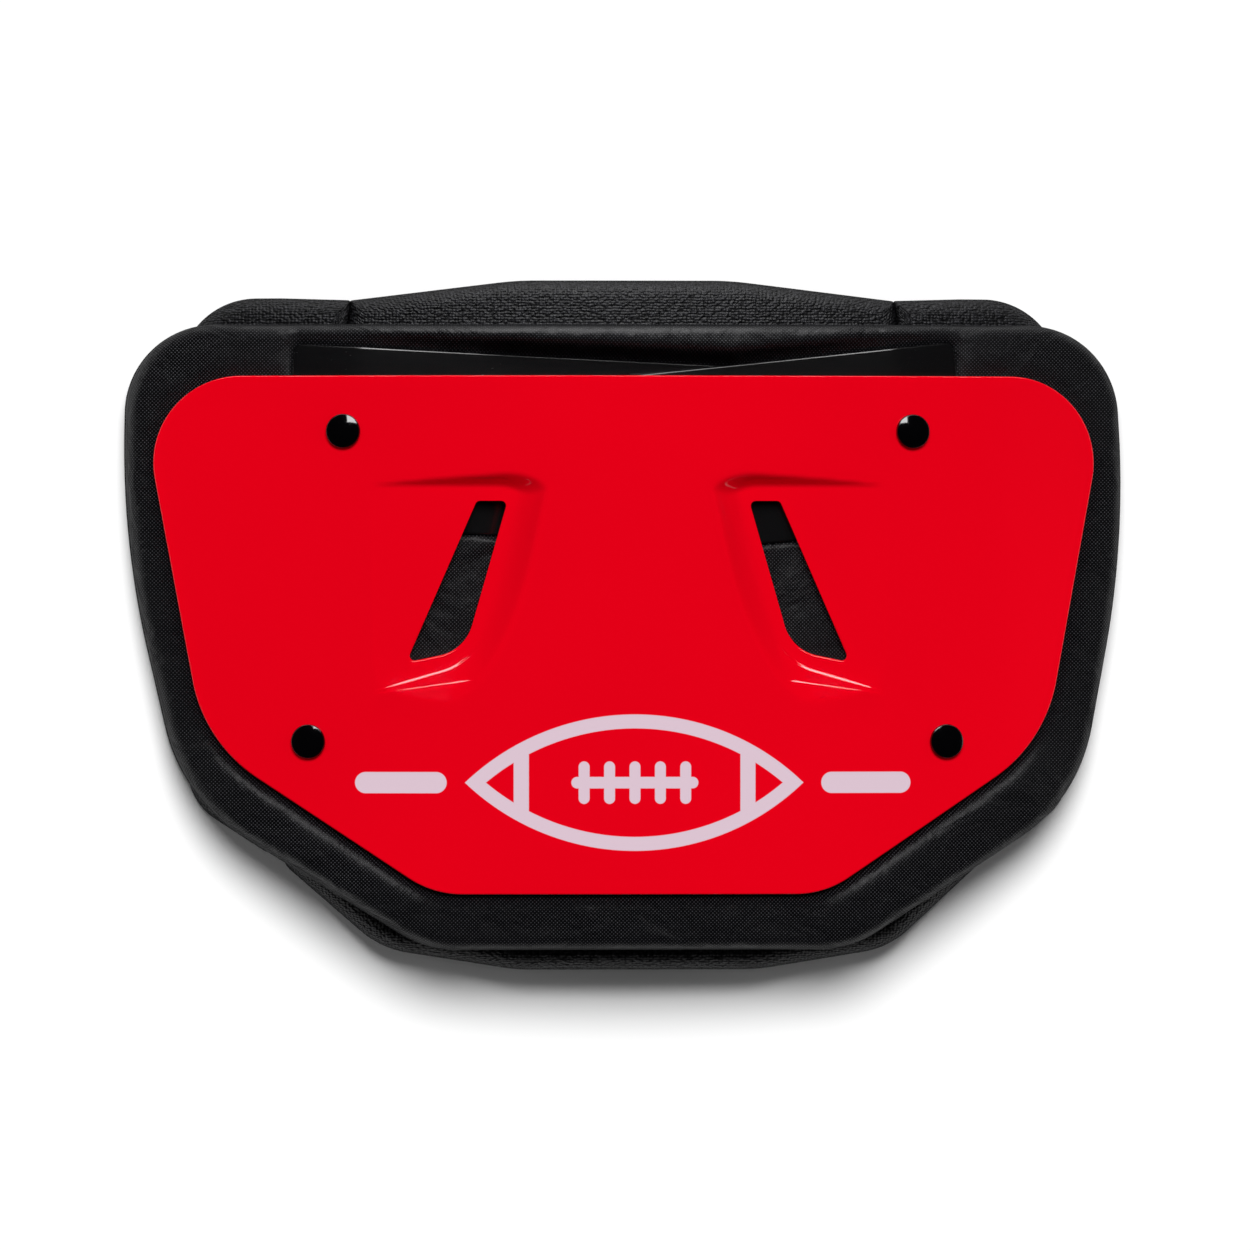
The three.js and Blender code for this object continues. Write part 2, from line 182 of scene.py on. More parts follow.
def fillPoints(rings, levels):
    # levels are (spacing, where it holds), the finest last
    outer = rings[0]
    kept = []
    for k, (spacing, holds) in enumerate(levels):
        points = gridPoints(outer.min(0), outer.max(0), spacing)
        if holds is not None:
            points = points[holds(points)]
        for _, finer in levels[k + 1:]:
            points = points[~finer(points)]
        points = points[insideLoop(points, outer)]
        for ring in rings[1:]:
            points = points[~insideLoop(points, ring)]
        distance = np.min([loopDistance(points, ring) for ring in rings], axis=0)
        kept.append(points[distance > 0.5 * min(spacing, 1 * mm)])
    return np.concatenate(kept)


def fillFace(rings, firstIndices, inner, innerStart):
    # triangles between the rings and the points inside, as indices into the whole mesh
    points = np.concatenate(rings + [inner])
    index = np.concatenate([first + np.arange(len(r)) for first, r in zip(firstIndices, rings)]
                           + [innerStart + np.arange(len(inner))])
    edges = []
    start = 0
    for ring in rings:
        edges += [(start + k, start + (k + 1) % len(ring)) for k in range(len(ring))]
        start += len(ring)
    _, _, faces, sources, _, _ = delaunay_2d_cdt(
        [Vector((x, y)) for x, y in points], edges, [], 0, 1e-9)
    source = np.array([s[0] if s else -1 for s in sources])
    faces = source[np.array([f for f in faces if len(f) == 3])]
    faces = faces[faces.min(1) >= 0]
    centres = points[faces].mean(1)
    keep = insideLoop(centres, rings[0])
    for ring in rings[1:]:
        keep &= ~insideLoop(centres, ring)
    faces = faces[keep]
    a, b, c = points[faces[:, 0]], points[faces[:, 1]], points[faces[:, 2]]
    turn = (b[:, 0] - a[:, 0]) * (c[:, 1] - a[:, 1]) - (b[:, 1] - a[:, 1]) * (c[:, 0] - a[:, 0])
    faces[turn < 0] = faces[turn < 0][:, ::-1]
    return index[faces]


def buildSlab(name, outlines, topHeight, underHeight, levels):
    # an outline's sections are (inset, share of the thickness) from the top face to the underside
    places, cloth, faces = [], [], []
    firstIndex = {}
    count = 0
    for loop, outline in enumerate(outlines):
        start = last = None
        sections = outline["sections"]
        for k, (inset, share) in enumerate(sections):
            ring, normals = outlineRing(outline, inset)
            top, under = topHeight(ring), underHeight(ring)
            here = np.column_stack([ring, top + (under - top) * share])
            if k == 0:
                start, travelled = ring, np.zeros(len(ring))
            else:
                travelled = travelled + np.linalg.norm(here - last, axis=1)
            last = here
            places.append(here)
            cloth.append(start + normals * travelled[:, None])
            firstIndex[loop, k] = count
            count += len(ring)
        for k in range(len(sections) - 1):
            upper, lower = firstIndex[loop, k], firstIndex[loop, k + 1]
            for i in range(len(ring)):
                j = (i + 1) % len(ring)
                face = (upper + i, lower + i, lower + j, upper + j)
                faces.append(face[::-1] if outline["isHole"] else face)
    sideFaces = len(faces)
    for isUnder, height in ((False, topHeight), (True, underHeight)):
        ends = [len(outline["sections"]) - 1 if isUnder else 0 for outline in outlines]
        rings = [outlineRing(outline, outline["sections"][k][0])[0] for outline, k in zip(outlines, ends)]
        inner = fillPoints(rings, levels)
        firsts = [firstIndex[loop, k] for loop, k in enumerate(ends)]
        triangles = fillFace(rings, firsts, inner, count)
        if isUnder:
            triangles = triangles[:, ::-1]
        else:
            topFaces = len(triangles)
        places.append(np.column_stack([inner, height(inner)]))
        cloth.append(inner)
        count += len(inner)
        faces += [tuple(face) for face in triangles.tolist()]
    places = np.concatenate(places)
    cloth = np.concatenate(cloth)
    mesh = bpy.data.meshes.new(name)
    mesh.from_pydata(places.tolist(), [], faces)
    corner = np.empty(len(mesh.loops), np.int32)
    mesh.loops.foreach_get("vertex_index", corner)
    flat = cloth[corner]
    underStart = 4 * sideFaces + 3 * topFaces
    flat[underStart:] = places[corner[underStart:], :2]
    layer = mesh.uv_layers.new(name="cloth")
    layer.data.foreach_set("uv", (flat / mm).astype(np.float32).ravel())   # millimetres of cloth
    mesh.shade_smooth()
    mesh.update()
    piece = bpy.data.objects.new(name, mesh)
    bpy.context.collection.objects.link(piece)
    return piece


def readPlaces(mesh):
    places = np.empty(len(mesh.vertices) * 3, np.float32)
    mesh.vertices.foreach_get("co", places)
    return places.reshape(-1, 3).astype(float)


def writePlaces(mesh, places):
    mesh.vertices.foreach_set("co", places.astype(np.float32).ravel())
    mesh.update()


# Materials

def colour(hexText):
    parts = [int(hexText[i:i + 2], 16) / 255 for i in (0, 2, 4)]
    linear = [p / 12.92 if p <= 0.04045 else ((p + 0.055) / 1.055) ** 2.4 for p in parts]
    return (*linear, 1.0)


def addNode(tree, kind, inputs=None, **settings):
    node = tree.nodes.new(kind)
    for name, value in settings.items():
        setattr(node, name, value)
    for socket, value in (inputs or {}).items():
        if isinstance(value, bpy.types.NodeSocket):
            tree.links.new(value, node.inputs[socket])
        else:
            node.inputs[socket].default_value = value
    return node


def newMaterial(name):
    material = bpy.data.materials.new(name)
    material.use_nodes = True
    tree = material.node_tree
    shader = tree.nodes["Principled BSDF"]
    return material, tree, shader


def setShader(tree, shader, patterns, values):
    for name, socket in patterns.items():
        tree.links.new(socket, shader.inputs[name])
    for name, value in values.items():
        shader.inputs[name].default_value = value


# Injection moulded polycarbonate: deep even red, high gloss with a faint orange peel.
# The badge is screen printed ink, so it lies flat and is a little duller.
shellLook = dict(
    red="E60017", deepRed="DC0016", ink="D9C1CE", roughness=0.07, inkRoughness=0.35, ior=1.49,
    cloudSize=90 * mm, peelSize=2.2 * mm, peelHeight=0.006 * mm, inkEdge=0.12 * mm,
)
# all in millimetres: the badge's middle on the plate, then sizes and reaches from that middle
badgeForm = dict(
    middleX=1.6, middleY=-52.0, ballLength=112.0, ballHeight=45.0, rim=4.6, bandFrom=35.0, bandTo=40.0,
    laceLength=42.0, laceWidth=3.8, rungPitch=8.4, rungCount=5, rungLength=14.0, rungWidth=3.6,
    barFrom=62.0, barTo=92.0, barWidth=7.0,
)


def addBadge(tree, place):
    # a plain ball outline with two bands and its lacing, between two bars
    form = badgeForm
    centred = addNode(tree, "ShaderNodeMapping", {
        "Vector": place, "Location": (-form["middleX"], -form["middleY"], 0), "Scale": (1 / mm,) * 3})
    parts = addNode(tree, "ShaderNodeSeparateXYZ", {0: centred.outputs[0]})
    along = addNode(tree, "ShaderNodeMath", {0: parts.outputs[0]}, operation="ABSOLUTE").outputs[0]
    up = addNode(tree, "ShaderNodeMath", {0: parts.outputs[1]}, operation="ABSOLUTE").outputs[0]
    # distance inside the ball's edge, which is two wide arcs
    a, b = form["ballLength"] / 2, form["ballHeight"] / 2
    arc = (a * a + b * b) / (2 * b)
    upFromArc = addNode(tree, "ShaderNodeMath", {0: up, 1: arc - b}, operation="ADD").outputs[0]
    fromArc = addNode(tree, "ShaderNodeCombineXYZ", {0: along, 1: upFromArc}).outputs[0]
    reach = addNode(tree, "ShaderNodeVectorMath", {0: fromArc}, operation="LENGTH").outputs["Value"]
    outside = addNode(tree, "ShaderNodeMath", {0: reach, 1: arc}, operation="SUBTRACT").outputs[0]
    fromRim = addNode(tree, "ShaderNodeMath", {0: outside, 1: form["rim"] / 2}, operation="ADD").outputs[0]
    fromRim = addNode(tree, "ShaderNodeMath", {0: fromRim}, operation="ABSOLUTE").outputs[0]
    shapes = [(fromRim, form["rim"] / 2)]
    bandMiddle = (form["bandFrom"] + form["bandTo"]) / 2
    fromBand = addNode(tree, "ShaderNodeMath", {0: along, 1: bandMiddle}, operation="SUBTRACT").outputs[0]
    fromBand = addNode(tree, "ShaderNodeMath", {0: fromBand}, operation="ABSOLUTE").outputs[0]
    bandReach = (form["bandTo"] - form["bandFrom"]) / 2
    inBall = addNode(tree, "ShaderNodeMath", {0: outside, 1: bandReach}, operation="ADD").outputs[0]
    fromBand = addNode(tree, "ShaderNodeMath", {0: fromBand, 1: inBall}, operation="MAXIMUM").outputs[0]
    shapes.append((fromBand, bandReach))
    folded = addNode(tree, "ShaderNodeMath", {
        0: along, 1: form["rungPitch"] / 2, 2: -form["rungPitch"] / 2}, operation="WRAP").outputs[0]
    rung = addNode(tree, "ShaderNodeMath", {0: folded}, operation="ABSOLUTE").outputs[0]
    span = form["rungCount"] * form["rungPitch"] / 2
    beyond = addNode(tree, "ShaderNodeMath", {0: along, 1: span}, operation="SUBTRACT").outputs[0]
    rung = addNode(tree, "ShaderNodeMath", {0: rung, 1: beyond}, operation="MAXIMUM").outputs[0]
    barMiddle = (form["barFrom"] + form["barTo"]) / 2
    fromBar = addNode(tree, "ShaderNodeMath", {0: along, 1: barMiddle}, operation="SUBTRACT").outputs[0]
    fromBar = addNode(tree, "ShaderNodeMath", {0: fromBar}, operation="ABSOLUTE").outputs[0]
    strokes = (
        (up, along, form["laceLength"], form["laceWidth"]),
        (rung, up, form["rungLength"], form["rungWidth"]),
        (up, fromBar, form["barTo"] - form["barFrom"], form["barWidth"]),
    )
    for across, length, reach, width in strokes:
        straight = (reach - width) / 2
        over = addNode(tree, "ShaderNodeMath", {0: length, 1: straight}, operation="SUBTRACT").outputs[0]
        over = addNode(tree, "ShaderNodeMath", {0: over, 1: 0.0}, operation="MAXIMUM").outputs[0]
        pair = addNode(tree, "ShaderNodeCombineXYZ", {0: across, 1: over}).outputs[0]
        away = addNode(tree, "ShaderNodeVectorMath", {0: pair}, operation="LENGTH").outputs["Value"]
        shapes.append((away, width / 2))
    edge = shellLook["inkEdge"] / mm
    ink = 0.0
    for away, reach in shapes:
        mask = addNode(tree, "ShaderNodeMapRange", {0: away, 1: reach + edge, 2: reach - edge})
        ink = addNode(tree, "ShaderNodeMath", {0: ink, 1: mask.outputs[0]}, operation="MAXIMUM").outputs[0]
    return ink


def shellPlastic():
    look = shellLook
    material, tree, shader = newMaterial("moulded_polycarbonate_red")
    place = addNode(tree, "ShaderNodeTexCoord").outputs["Object"]
    cloud = addNode(tree, "ShaderNodeTexNoise", {
        "Vector": place, "Scale": 1 / look["cloudSize"], "Detail": 1.0})
    red = addNode(tree, "ShaderNodeMix", {
        0: cloud.outputs[0], 6: colour(look["deepRed"]), 7: colour(look["red"])}, data_type="RGBA")
    ink = addBadge(tree, place)
    base = addNode(tree, "ShaderNodeMix", {
        0: ink, 6: red.outputs[2], 7: colour(look["ink"])}, data_type="RGBA")
    rough = addNode(tree, "ShaderNodeMapRange", {0: ink, 3: look["roughness"], 4: look["inkRoughness"]})
    peel = addNode(tree, "ShaderNodeTexNoise", {
        "Vector": place, "Scale": 1 / look["peelSize"], "Detail": 1.0})
    bump = addNode(tree, "ShaderNodeBump", {"Height": peel.outputs[0], "Distance": look["peelHeight"]})
    setShader(tree, shader, {"Base Color": base.outputs[2], "Roughness": rough.outputs[0],
                             "Normal": bump.outputs[0]}, {"IOR": look["ior"]})
    return material


# the fuzz of a fabric hides its gloss at a glancing look
fuzzLook = dict(fadeFrom=0.2, fadeTo=0.75, leastGloss=0.02)


def fadedGloss(tree, gloss):
    look = fuzzLook
    facing = addNode(tree, "ShaderNodeLayerWeight", {"Blend": 0.5}).outputs["Facing"]
    return addNode(tree, "ShaderNodeMapRange", {
        0: facing, 1: look["fadeFrom"], 2: look["fadeTo"], 3: gloss, 4: look["leastGloss"]}).outputs[0]


# Black 600 denier polyester, plain woven: dull black, with painted highlights on a fine grid of yarn crowns
# and painted shade in the hollows between them
# shade is the painted shade in the weave's hollows, crown the painted highlight colour of the yarn crowns
wovenLook = dict(
    shade="030304", crown="6A6A70", yarnPitch=0.62, crownFrom=0.42, crownHeight=0.10 * mm,
    fleckScale=0.9, wrinkleSize=18.0, wrinkleWarp=0.6, wrinkleHeight=3.0 * mm, roughness=0.5, gloss=0.3,
)


def wovenPolyester():
    look = wovenLook
    material, tree, shader = newMaterial("woven_polyester_black")
    cloth = addNode(tree, "ShaderNodeUVMap", uv_map="cloth").outputs[0]
    turns = math.pi / look["yarnPitch"]
    scaled = addNode(tree, "ShaderNodeVectorMath", {0: cloth, 1: (turns, turns, 0)}, operation="MULTIPLY")
    waves = addNode(tree, "ShaderNodeVectorMath", {0: scaled.outputs[0]}, operation="SINE")
    parts = addNode(tree, "ShaderNodeSeparateXYZ", {0: waves.outputs[0]})
    product = addNode(tree, "ShaderNodeMath", {
        0: parts.outputs[0], 1: parts.outputs[1]}, operation="MULTIPLY")
    crowns = addNode(tree, "ShaderNodeMapRange", {0: product.outputs[0], 1: look["crownFrom"], 2: 1.0})
    fleck = addNode(tree, "ShaderNodeTexNoise", {"Vector": cloth, "Scale": look["fleckScale"]})
    lit = addNode(tree, "ShaderNodeMath", {
        0: crowns.outputs[0], 1: fleck.outputs[0]}, operation="MULTIPLY")
    # painted light: the crowns get a lighter colour for the light they catch, the hollows a near-black one
    # for shade
    base = addNode(tree, "ShaderNodeMix", {
        0: lit.outputs[0], 6: colour(look["shade"]), 7: colour(look["crown"])}, data_type="RGBA")
    wrinkle = addNode(tree, "ShaderNodeTexNoise", {
        "Vector": cloth, "Scale": 1 / look["wrinkleSize"], "Detail": 3.0,
        "Distortion": look["wrinkleWarp"]})
    soft = addNode(tree, "ShaderNodeBump", {
        "Height": wrinkle.outputs[0], "Distance": look["wrinkleHeight"]})
    fine = addNode(tree, "ShaderNodeBump", {
        "Height": crowns.outputs[0], "Distance": look["crownHeight"], "Normal": soft.outputs[0]})
    setShader(tree, shader, {
        "Base Color": base.outputs[2], "Normal": fine.outputs[0],
        "Specular IOR Level": fadedGloss(tree, look["gloss"])}, {"Roughness": look["roughness"]})
    return material


# Black knitted spacer mesh: small uneven loops, some of them painted lighter as if catching the light, in a
# ground of painted dark shade
meshLook = dict(
    holeShade="030304", loop="262629", loopPitch=1.15, loopHeight=0.6 * mm, stretch=1.25, unevenness=0.45,
    loopFoot=0.62, loopCrown=0.12, dullest=0.1, brightest=1.6, roughness=0.55, gloss=0.32,
)


def knittedMesh():
    look = meshLook
    material, tree, shader = newMaterial("knitted_spacer_mesh_black")
    cloth = addNode(tree, "ShaderNodeUVMap", uv_map="cloth").outputs[0]
    drawn = addNode(tree, "ShaderNodeMapping", {"Vector": cloth, "Scale": (1.0, look["stretch"], 1.0)})
    cells = addNode(tree, "ShaderNodeTexVoronoi", {
        "Vector": drawn.outputs[0], "Scale": 1 / look["loopPitch"], "Randomness": look["unevenness"]},
        feature="SMOOTH_F1")
    loops = addNode(tree, "ShaderNodeMapRange", {
        0: cells.outputs["Distance"], 1: look["loopFoot"], 2: look["loopCrown"]},
        interpolation_type="SMOOTHSTEP").outputs[0]
    own = addNode(tree, "ShaderNodeSeparateColor", {0: cells.outputs["Color"]}).outputs[0]
    lit = addNode(tree, "ShaderNodeMapRange", {0: own, 3: look["dullest"], 4: look["brightest"]}).outputs[0]
    share = addNode(tree, "ShaderNodeMath", {0: loops, 1: lit}, operation="MULTIPLY", use_clamp=True)
    # painted light: lighter loops stand in for light catching them, the near-black holes and dull loops for
    # shade
    base = addNode(tree, "ShaderNodeMix", {
        0: share.outputs[0], 6: colour(look["holeShade"]), 7: colour(look["loop"])}, data_type="RGBA")
    bump = addNode(tree, "ShaderNodeBump", {"Height": loops, "Distance": look["loopHeight"]})
    setShader(tree, shader, {
        "Base Color": base.outputs[2], "Normal": bump.outputs[0],
        "Specular IOR Level": fadedGloss(tree, look["gloss"])}, {"Roughness": look["roughness"]})
    return material


# Extruded nylon strap plate: black, satin, with faint draw lines along its length
strapLook = dict(
    black="0B0B0C", lineSize=0.6 * mm, lineHeight=0.004 * mm, lineStretch=0.03,
    smoothest=0.2, roughest=0.3, specular=0.8, ior=1.53,
)


def strapNylon():
    look = strapLook
    material, tree, shader = newMaterial("extruded_nylon_black")
    place = addNode(tree, "ShaderNodeTexCoord").outputs["Object"]
    drawn = addNode(tree, "ShaderNodeMapping", {"Vector": place, "Scale": (look["lineStretch"], 1, 1)})
    lines = addNode(tree, "ShaderNodeTexNoise", {
        "Vector": drawn.outputs[0], "Scale": 1 / look["lineSize"]})
    bump = addNode(tree, "ShaderNodeBump", {"Height": lines.outputs[0], "Distance": look["lineHeight"]})
    rough = addNode(tree, "ShaderNodeMapRange", {
        0: lines.outputs[0], 3: look["smoothest"], 4: look["roughest"]})
    setShader(tree, shader, {"Normal": bump.outputs[0], "Roughness": rough.outputs[0]}, {
        "Base Color": colour(look["black"]), "Specular IOR Level": look["specular"], "IOR": look["ior"]})
    return material


# Rivet heads of black enamelled steel: mirror gloss with a hair of waviness in the enamel
rivetLook = dict(
    black="030304", waveSize=3 * mm, waveHeight=0.004 * mm, roughness=0.10, specular=1.0, ior=1.52,
)


def rivetEnamel():
    look = rivetLook
    material, tree, shader = newMaterial("black_enamelled_steel")
    place = addNode(tree, "ShaderNodeTexCoord").outputs["Object"]
    waves = addNode(tree, "ShaderNodeTexNoise", {
        "Vector": place, "Scale": 1 / look["waveSize"], "Detail": 0.0})
    bump = addNode(tree, "ShaderNodeBump", {"Height": waves.outputs[0], "Distance": look["waveHeight"]})
    setShader(tree, shader, {"Normal": bump.outputs[0]}, {
        "Base Color": colour(look["black"]), "Roughness": look["roughness"],
        "Specular IOR Level": look["specular"], "IOR": look["ior"]})
    return material


redPlastic, wovenCover, meshCover = shellPlastic(), wovenPolyester(), knittedMesh()
strapPlastic, rivetPlastic = strapNylon(), rivetEnamel()
print("materials made")


def finishPiece(piece, material, slot, *nodes):
    piece.data.materials.clear()
    piece.data.materials.append(material)
    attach(piece, "root")
    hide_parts(*nodes)


# Shell

halfShell = (shellHigh.x - shellLow.x) / 2
shellForm = dict(
    thickness=3 * mm, upperRound=0.5 * mm, lowerRound=0.4 * mm, step=1.4 * mm,
    grid=2.0 * mm, fineGrid=1.0 * mm, stepGrid=0.22 * mm, ringGap=0.15 * mm,
    shoulder=(1.04, 1.0, 0.184), hip=(0.896, 0.291, 0.317), foot=(0.416, 0.0, 0.204),
)
scoopForm = dict(
    outerX=86 * mm, innerTopX=35.5 * mm, innerBottomX=48.5 * mm, drop=36.2 * mm, depth=6.8 * mm,
    footDrop=104.7 * mm, footRise=0.29, footCurl=0.0386 / mm, curlStart=25 * mm,
    crestDrop=105.3 * mm, crestRise=0.139, topWall=4.2 * mm, innerTopWall=8.5 * mm,
    innerBottomWall=14 * mm, bottomWall=18.5 * mm, innerLength=56 * mm, corner=8 * mm,
    topSoft=0.08, footSoft=0.22, crestSoft=0.6 * mm, runOutSoft=0.6 * mm,
    footWidth=1.1 * mm, crestWidth=0.65 * mm, riserSlope=0.615, stepRun=4 * mm,
    taperShare=0.3, taperGap=1 * mm, taperRun=5 * mm, tipWidth=0.3, wallEndRun=1.5 * mm,
    riseRate=6, leastTaper=0.003,
    fineInside=10 * mm, fineOutside=4 * mm, fineAbove=10 * mm, fineBelow=5 * mm,
)
ventForm = dict(
    topX=45.1 * mm, bottomX=63.8 * mm, topWidth=10.2 * mm, bottomWidth=19.4 * mm, drop=41.4 * mm,
    length=49.3 * mm, slant=4 * mm, corner=1.6 * mm, foot=14 * mm, step=0.7 * mm,
    bevelSlope=0.62, bevelFrom=0.5 * mm, bevelTo=0.1 * mm, bevelReach=11 * mm, bevelFade=4 * mm,
)
# inset in millimetres and share of the thickness; the close rings keep the bevel and the cut crisp
ventSections = [
    (0.6, 0.0), (0.5, 0.0), (0.47, 0.0), (0.1, 0.0), (0.06, 0.0), (0.0, 0.03),
    (0.0, 0.97), (0.06, 1.0), (0.3, 1.0),
]


def placeShares(shares, half, top, bottom):
    return [(across * half, bottom + up * (top - bottom), radius * half) for across, up, radius in shares]


def smooth(value):
    t = np.clip(value, 0, 1)
    return t * t * (3 - 2 * t)


def softPositive(value, softness):
    return 0.5 * (value + np.sqrt(value ** 2 + softness ** 2))


def scoopField(points):
    form = scoopForm
    out = np.abs(points[:, 0])
    up = points[:, 1]
    top = shellHigh.y - form["drop"]
    inward = form["outerX"] - out
    share = np.clip(inward / (form["outerX"] - form["innerTopX"]), -1, 1)
    outerFloor = shellFace - sag(form["outerX"])
    innerFloor = shellFace - sag(form["innerTopX"]) - form["depth"]
    full = (shellFace - sag(out)) - (outerFloor + (innerFloor - outerFloor) * share)
    full = softPositive(full, form["runOutSoft"]) - form["runOutSoft"] / 2
    # the inner wall slants outwards and widens downwards
    slant = math.atan2(form["innerBottomX"] - form["innerTopX"], form["innerLength"])
    fallen = smooth((top - up) / form["innerLength"])
    innerWall = form["innerTopWall"] + (form["innerBottomWall"] - form["innerTopWall"]) * fallen
    pastInner = (form["innerTopX"] - out) * math.cos(slant) + (top - up) * math.sin(slant)
    # the bottom wall rises from a curling foot line, with a flatter crest line across it
    curl = form["footCurl"] * np.maximum(inward - form["curlStart"], 0) ** 2
    foot = shellHigh.y - form["footDrop"] + form["footRise"] * inward + curl
    crest = shellHigh.y - form["crestDrop"] + form["crestRise"] * inward
    return dict(full=full, share=share, foot=foot, crest=crest, pastInner=pastInner,
                overTop=(up - top) / form["topWall"], overBottom=(foot - up) / form["bottomWall"],
                overInner=pastInner / innerWall, corner=form["corner"] / innerWall)


def scoopDepth(points):
    form = scoopForm
    field = scoopField(points)
    r = field["corner"]
    nearInner = np.maximum(field["overInner"] + r, 0)
    nearTop = np.maximum(field["overTop"] + r, 0)
    nearBottom = np.maximum(field["overBottom"] + r, 0)
    byTop = softPositive(np.hypot(nearTop, nearInner) - r, form["topSoft"])
    byBottom = softPositive(np.hypot(nearBottom, nearInner) - r, form["footSoft"])
    walls = np.maximum(byTop, byBottom)
    crestSoft = form["crestSoft"] * np.clip(field["share"], 0, 1)
    depth = softPositive(field["full"] - walls * form["depth"], crestSoft)
    return depth - sum(height for height, _ in scoopSteps(points, field))


def scoopSteps(points, field):
    # low risers along the foot and the crest of the bottom wall, which catch the light
    form = scoopForm
    fromInner = (-field["pastInner"] - form["taperGap"]) / form["taperRun"]
    taper = smooth(field["share"] / form["taperShare"]) * smooth(fromInner)
    wallEnd = field["full"] / form["depth"] * form["bottomWall"]
    fallen = 0.0
    steps = []
    for line, width in (("foot", form["footWidth"]), ("crest", form["crestWidth"])):
        # the wall under the line already gives a part of the slope
        below = (field["foot"] - field[line]) / form["bottomWall"]
        wallSlope = form["depth"] / form["bottomWall"] * (1 + below / np.hypot(below, form["footSoft"])) / 2
        onWall = smooth((wallEnd - field["foot"] + field[line]) / form["wallEndRun"])
        slope = form["riserSlope"] - wallSlope * onWall + fallen
        width = width * (form["tipWidth"] + (1 - form["tipWidth"]) * taper)
        across = (field[line] - points[:, 1]) / width + 0.5
        decay = np.exp(-np.maximum(across - 1, 0) * width / form["stepRun"])
        raised = slope * width * smooth(form["riseRate"] * taper) * np.clip(across, 0, 1) * decay
        steps.append((raised, (np.abs(across - 0.5) < 1.0) & (taper > form["leastTaper"])))
        fallen = slope * width / form["stepRun"] * decay
    return steps


def nearStep(points):
    return np.any([near for _, near in scoopSteps(points, scoopField(points))], axis=0)


def shellTop(points):
    return shellFace - sag(points[:, 0]) - scoopDepth(points) - ventBevel(points)


def shellUnder(points):
    return shellFace - sag(points[:, 0]) - scoopDepth(points) - shellForm["thickness"]


def nearScoop(points):
    form = scoopForm
    out = np.abs(points[:, 0])
    top = shellHigh.y - form["drop"]
    bottom = shellHigh.y - form["footDrop"]
    beside = (out > form["innerTopX"] - form["fineInside"]) & (out < form["outerX"] + form["fineOutside"])
    return beside & (points[:, 1] < top + form["fineAbove"]) & (points[:, 1] > bottom - form["fineBelow"])


def roundedEdge(upper, lower, thickness, steps=4):
    # a close ring before each rounding keeps the flat faces flat in the shading
    sections = [(upper + shellForm["ringGap"], 0.0)]
    for k in range(steps + 1):
        angle = math.pi / 2 * k / steps
        sections.append((upper * (1 - math.sin(angle)), upper * (1 - math.cos(angle)) / thickness))
    for k in range(steps + 1):
        angle = math.pi / 2 * k / steps
        sections.append((lower * (1 - math.cos(angle)), 1 - lower * (1 - math.sin(angle)) / thickness))
    return sections + [(lower + shellForm["ringGap"], 1.0)]


def ventOutline(side):
    form = ventForm
    top = shellHigh.y - form["drop"]
    bottom = top - form["length"]
    corners = [
        (form["topX"] - form["topWidth"] / 2, top, form["corner"]),
        (form["bottomX"] - form["bottomWidth"] / 2, bottom, form["foot"]),
        (form["bottomX"] + form["bottomWidth"] / 2, bottom - form["slant"], form["corner"]),
        (form["topX"] + form["topWidth"] / 2, top, form["corner"]),
    ]
    corners = corners if side > 0 else flipped(corners)
    return makeOutline(corners, form["step"], inMillimetres(ventSections), isHole=True)


def ventBevel(points):
    # the lower edge of each vent is bevelled
    form = ventForm
    bottom = shellHigh.y - form["drop"] - form["length"]
    bevel = np.zeros(len(points))
    low = (points[:, 1] < bottom + form["bevelReach"]) & (points[:, 1] > bottom - 3 * form["slant"])
    for side in (-1, 1):
        near = low & (np.abs(points[:, 0] - side * form["bottomX"]) < form["bottomWidth"])
        if near.any():
            away = outlineDistance(points[near], ventOutline(side))
            across = np.clip(form["bevelFrom"] - away, 0, form["bevelFrom"] - form["bevelTo"])
            fade = smooth((bottom + form["bevelReach"] - points[near, 1]) / form["bevelFade"])
            bevel[near] = form["bevelSlope"] * across * fade
    return bevel


shellShares = [shellForm["foot"], shellForm["hip"], shellForm["shoulder"]]
shellCorners = mirrored(placeShares(shellShares, halfShell, shellHigh.y, shellLow.y))
shellOutline = makeOutline(shellCorners, shellForm["step"], roundedEdge(
    shellForm["upperRound"], shellForm["lowerRound"], shellForm["thickness"]))
shell = buildSlab("bent_shell", [shellOutline, ventOutline(-1), ventOutline(1)], shellTop, shellUnder, [
    (shellForm["grid"], None), (shellForm["fineGrid"], nearScoop), (shellForm["stepGrid"], nearStep)])
finishPiece(shell, redPlastic, "shell_plastic", "shell")
print("shell made")

# Straps

strapForm = dict(
    length=147 * mm, width=60 * mm, thickness=1.6 * mm, corner=3 * mm, endMargin=17.5 * mm, drop=1.85 * mm,
    edge=0.7 * mm, step=1.5 * mm, grid=3 * mm, ramp=10 * mm, rampGap=1 * mm, runOut=2.75 * mm,
    left=dict(side=-1, turn=-2.8, dips=True), right=dict(side=1, turn=5.9, dips=False),
)
topRivet = (94.2 * mm, 64.0 * mm)
bottomRivet = (105.6 * mm, -38.5 * mm)


